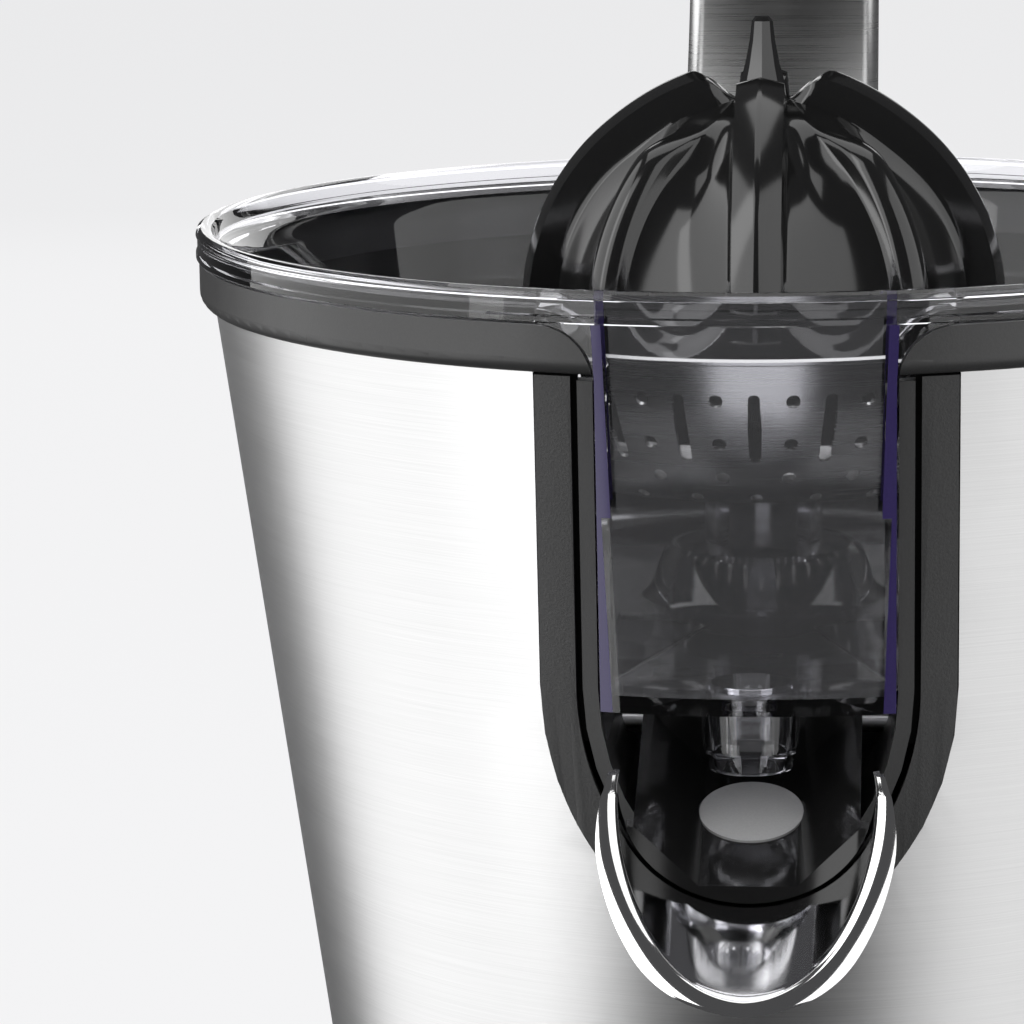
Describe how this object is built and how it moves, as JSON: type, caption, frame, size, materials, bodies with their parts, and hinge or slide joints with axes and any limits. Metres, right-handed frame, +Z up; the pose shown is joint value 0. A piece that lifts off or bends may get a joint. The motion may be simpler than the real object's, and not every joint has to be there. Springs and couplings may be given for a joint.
{
  "type": "citrus press juicer",
  "caption": "Citrus press with a tapered brushed-steel body, a clear windowed juice bowl, a black finned reamer, a raised lever arm and a drip-stop spout.",
  "frame": {"origin": "on the drive axis, at the height of the surface that the foot ring stands on", "axes": "+Z up along the drive axis, -Y towards the spout and the person using it, X across"},
  "size_m": [0.19, 0.2863, 0.4432],
  "materials": {
    "brushed_steel": "brushed stainless steel",
    "polished_steel": "polished stainless steel",
    "machined_steel": "plain turned steel",
    "black_matte": "fine-grained moulded plastic",
    "black_gloss": "polished moulded plastic",
    "clear_plastic": "clear moulded plastic with a faint violet tint",
    "rubber_black": "soft black rubber",
    "silicone_grey": "matte grey silicone",
    "cast_grey": "die-cast bracket, painted dark",
    "gear_nylon": "natural nylon",
    "bronze": "sintered bronze",
    "copper": "varnished windings",
    "switch_red": "red switch plunger"
  },
  "bodies": {
    "base": {"foot_ring": "rubber_black", "base_plate": "black_matte", "base_screws": "machined_steel", "base_ring": "black_matte", "body_skin": "brushed_steel", "window_trim": "black_matte", "window_frame": "black_matte", "collar_ring": "black_matte", "inner_well": "black_matte", "drive_boss": "black_gloss", "shaft_seal": "rubber_black", "gear_lid": "black_matte", "gear_housing": "black_matte", "gear_screws": "machined_steel", "motor_can": "machined_steel", "motor_stator": "copper", "idler_pin": "machined_steel", "spindle_bushes": "bronze", "hinge_bracket": "cast_grey", "bracket_screws": "machined_steel", "rear_cover": "black_matte", "cord_gland": "rubber_black", "micro_switch": "black_matte", "hinge_pin": "machined_steel", "spout_pin": "machined_steel"},
    "motor_armature": {"motor_rotor": "machined_steel", "motor_pinion": "bronze"},
    "idler": {"idler_gear": "gear_nylon"},
    "spindle": {"drive_spindle": "machined_steel", "output_gear": "gear_nylon", "spindle_clip": "machined_steel"},
    "bowl": {"juice_bowl": "clear_plastic"},
    "strainer": {"sieve": "brushed_steel"},
    "sleeve": {"drive_sleeve": "black_gloss"},
    "cone": {"reamer": "black_gloss"},
    "arm": {"arm_shell": "brushed_steel", "arm_plate": "brushed_steel", "arm_screws": "machined_steel", "arm_grip": "rubber_black", "hinge_bushes": "bronze", "cup_yoke": "machined_steel", "cup_pin": "machined_steel"},
    "cup": {"press_cup": "black_gloss"},
    "spout": {"spout_tray": "black_gloss", "spout_lip": "polished_steel", "drip_seal": "silicone_grey"},
    "plunger": {"switch_plunger": "switch_red"}
  },
  "joints": [
    {"name": "drive_spin", "type": "hinge", "parent": "base", "child": "spindle", "pos_m": [0, 0, 0.175], "axis": [0, 0, 1], "continuous": true},
    {"name": "idler_spin", "type": "hinge", "parent": "base", "child": "idler", "pos_m": [0.03282, 0.0148, 0.145], "axis": [0, 0, 1], "continuous": true},
    {"name": "motor_spin", "type": "hinge", "parent": "base", "child": "motor_armature", "pos_m": [0, 0.022, 0.145], "axis": [0, 0, 1], "continuous": true},
    {"name": "bowl_lift", "type": "slide", "parent": "base", "child": "bowl", "axis": [0, 0, 1], "range_m": [0, 0.086]},
    {"name": "sieve_lift", "type": "slide", "parent": "bowl", "child": "strainer", "axis": [0, 0, 1], "range_m": [0, 0.045]},
    {"name": "cone_spin", "type": "hinge", "parent": "strainer", "child": "sleeve", "pos_m": [0, 0, 0.195], "axis": [0, 0, 1], "continuous": true},
    {"name": "cone_lift", "type": "slide", "parent": "sleeve", "child": "cone", "axis": [0, 0, 1], "range_m": [0, 0.04]},
    {"name": "arm_swing", "type": "hinge", "parent": "base", "child": "arm", "pos_m": [0, 0.108, 0.226], "axis": [-1, 0, 0], "range_deg": [-75, 0]},
    {"name": "cup_tilt", "type": "hinge", "parent": "arm", "child": "cup", "pos_m": [0, 0.15251, 0.34974], "axis": [1, 0, 0], "range_deg": [-6, 6]},
    {"name": "spout_tilt", "type": "hinge", "parent": "base", "child": "spout", "pos_m": [0, -0.04791, 0.159], "axis": [-1, 0, 0], "range_deg": [0, 20]},
    {"name": "switch_press", "type": "slide", "parent": "base", "child": "plunger", "axis": [0, 0, 1], "range_m": [-0.002, 0], "stiffness_N_per_m": 200, "springref_m": 0.002}
  ],
  "couplings": [
    {"joint": "idler_spin", "follows": "drive_spin", "ratio": -3.2857},
    {"joint": "motor_spin", "follows": "drive_spin", "ratio": 12.048},
    {"joint": "cone_spin", "follows": "drive_spin", "ratio": 1}
  ]
}
